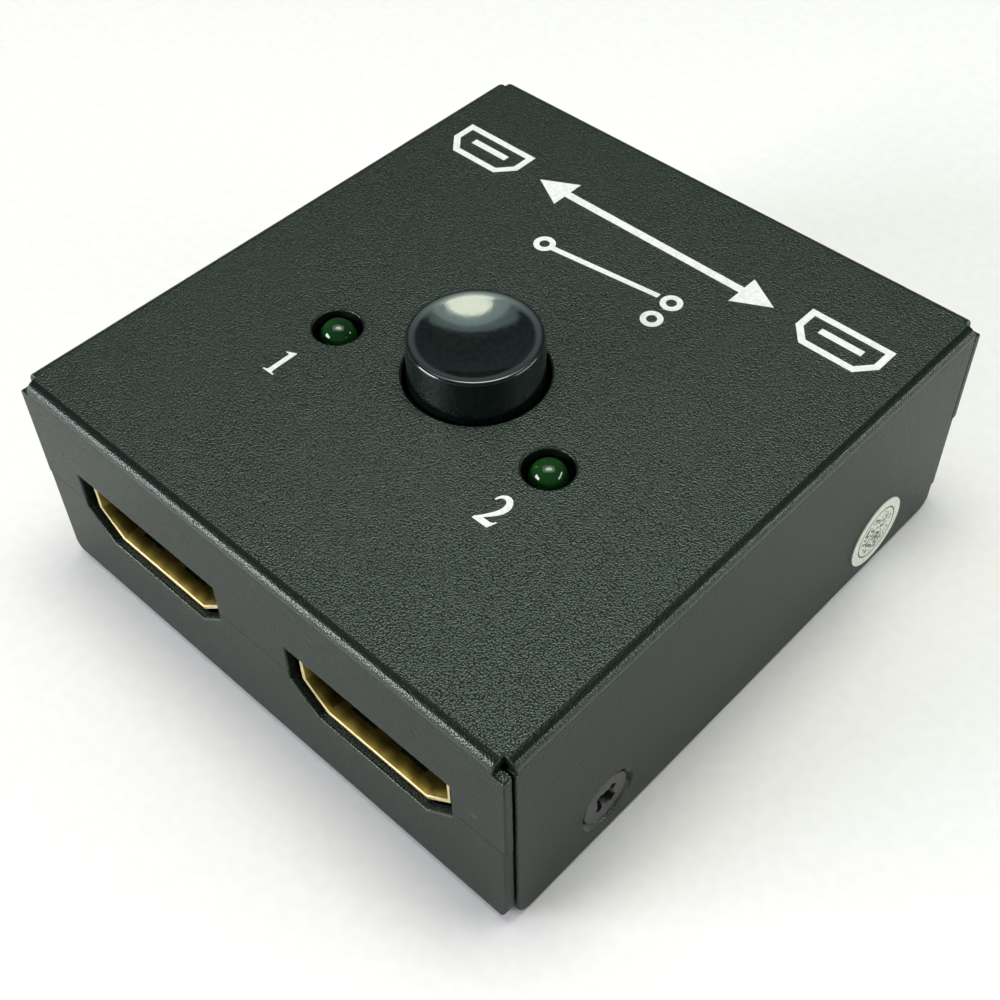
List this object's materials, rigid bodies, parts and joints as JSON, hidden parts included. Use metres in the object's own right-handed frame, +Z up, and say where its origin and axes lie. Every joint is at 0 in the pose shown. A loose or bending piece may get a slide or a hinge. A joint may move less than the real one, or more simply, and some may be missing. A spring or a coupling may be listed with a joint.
{
  "type": "video switch box",
  "caption": "Folded sheet-steel video switch box with D-shaped sockets in both ends, a round dished push button and indicator lamps; the button selects which input reaches the output.",
  "frame": {"origin": "middle of the underside of the case, on the table", "axes": "+X to the right when the input end is faced, +Y from the input end to the output end, +Z up"},
  "size_m": [0.0521, 0.0556, 0.0248],
  "materials": {
    "powder_coat": "black powder coat with a fine sandy texture",
    "screw_black": "black oxide, satin",
    "sticker_paper": "matt white paper",
    "board_laminate": "green solder mask",
    "bright_steel": "bright plated steel",
    "shell_gold": "gold-coloured plating, satin",
    "contact_gold": "gold plating, bright",
    "socket_plastic": "black moulded plastic",
    "button_black": "polished black plastic",
    "plunger_white": "white moulded plastic",
    "wiper_bronze": "spring bronze",
    "switch_plastic": "black moulded plastic",
    "tinned_metal": "tinned",
    "lamp_green": "clear green epoxy",
    "chip_epoxy": "black epoxy",
    "resistor_ceramic": "black glazed ceramic",
    "capacitor_ceramic": "tan ceramic"
  },
  "bodies": {
    "case": {"top_cover": "powder_coat", "bottom_tray": "powder_coat", "cover_screws": "screw_black", "seal_sticker": "sticker_paper", "circuit_board": "board_laminate", "board_standoffs": "bright_steel", "board_screws": "bright_steel", "input_socket_1_shell": "shell_gold", "input_socket_1_insulator": "socket_plastic", "input_socket_1_contacts": "contact_gold", "input_socket_2_shell": "shell_gold", "input_socket_2_insulator": "socket_plastic", "input_socket_2_contacts": "contact_gold", "output_socket_shell": "shell_gold", "output_socket_insulator": "socket_plastic", "output_socket_contacts": "contact_gold", "switch_housing": "switch_plastic", "switch_frame": "bright_steel", "switch_spring": "bright_steel", "switch_latch_pin": "bright_steel", "switch_terminals": "tinned_metal", "lamp_1_lens": "lamp_green", "lamp_1_leads": "tinned_metal", "lamp_2_lens": "lamp_green", "lamp_2_leads": "tinned_metal", "switching_chip": "chip_epoxy", "switching_chip_leads": "tinned_metal", "chip_resistors": "resistor_ceramic", "chip_capacitors": "capacitor_ceramic", "supply_regulator": "chip_epoxy"},
    "button": {"button_cap": "button_black", "switch_plunger": "plunger_white", "switch_wipers": "wiper_bronze"}
  },
  "joints": [
    {"name": "button_press", "type": "slide", "parent": "case", "child": "button", "axis": [0, 0, -1], "range_m": [0, 0.002], "stiffness_N_per_m": 600, "springref_m": -0.0015, "deforming": ["switch_spring"]}
  ]
}
